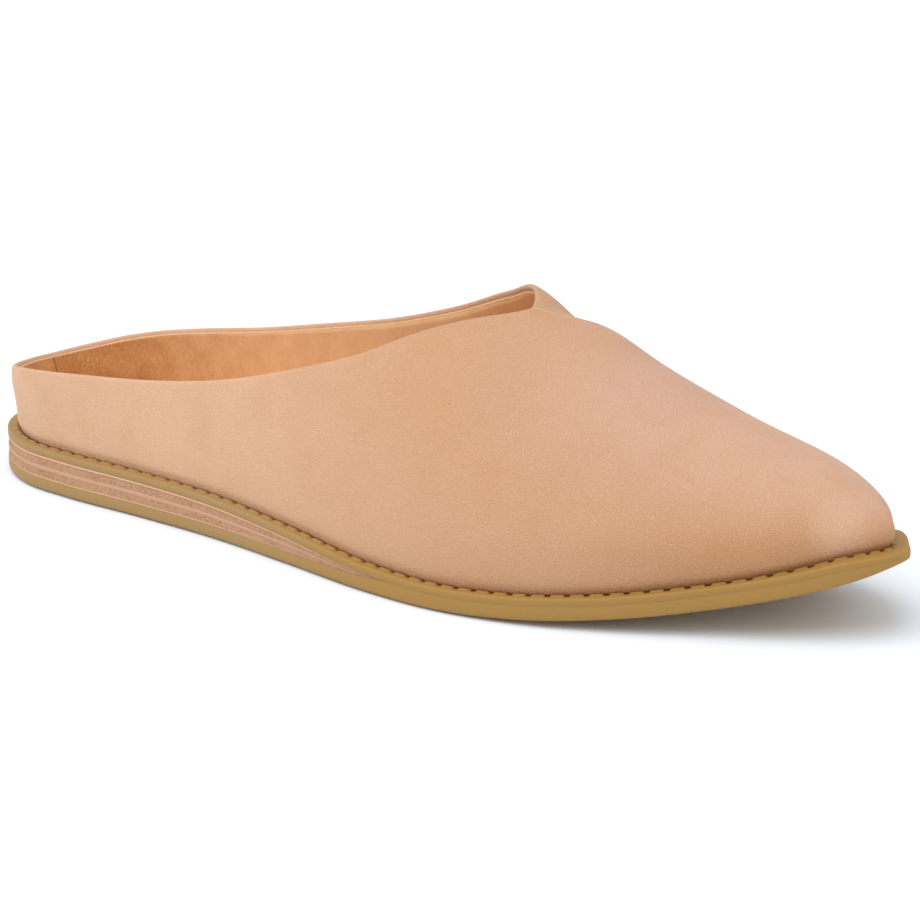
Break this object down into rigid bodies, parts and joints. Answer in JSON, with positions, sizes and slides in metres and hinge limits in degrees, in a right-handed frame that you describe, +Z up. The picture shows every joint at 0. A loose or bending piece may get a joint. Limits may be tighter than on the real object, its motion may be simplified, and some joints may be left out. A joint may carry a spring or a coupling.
{
  "type": "mule shoe",
  "caption": "Flat backless slip-on mule with a pointed toe, low leather heel wall, notched rubber welt, thin stacked wedge and rubber outsole.",
  "frame": {"origin": "on the floor, under the middle of the shoe's box", "axes": "+X from the heel towards the toe, +Y towards the inner (big-toe) side, +Z up"},
  "size_m": [0.2496, 0.081, 0.0631],
  "materials": {
    "upper": "smooth natural tan leather with a fine pebble grain and a soft sheen",
    "lining": "caramel microsuede, matt and slightly fuzzy",
    "sole": "mustard crepe-coloured rubber, satin",
    "wedge": "stacked leather edge in thin tan layers, matt"
  },
  "bodies": {
    "root": {"upper": "upper", "insole": "lining", "welt": "sole", "heel_wedge": "wedge", "outsole": "sole"}
  },
  "joints": []
}
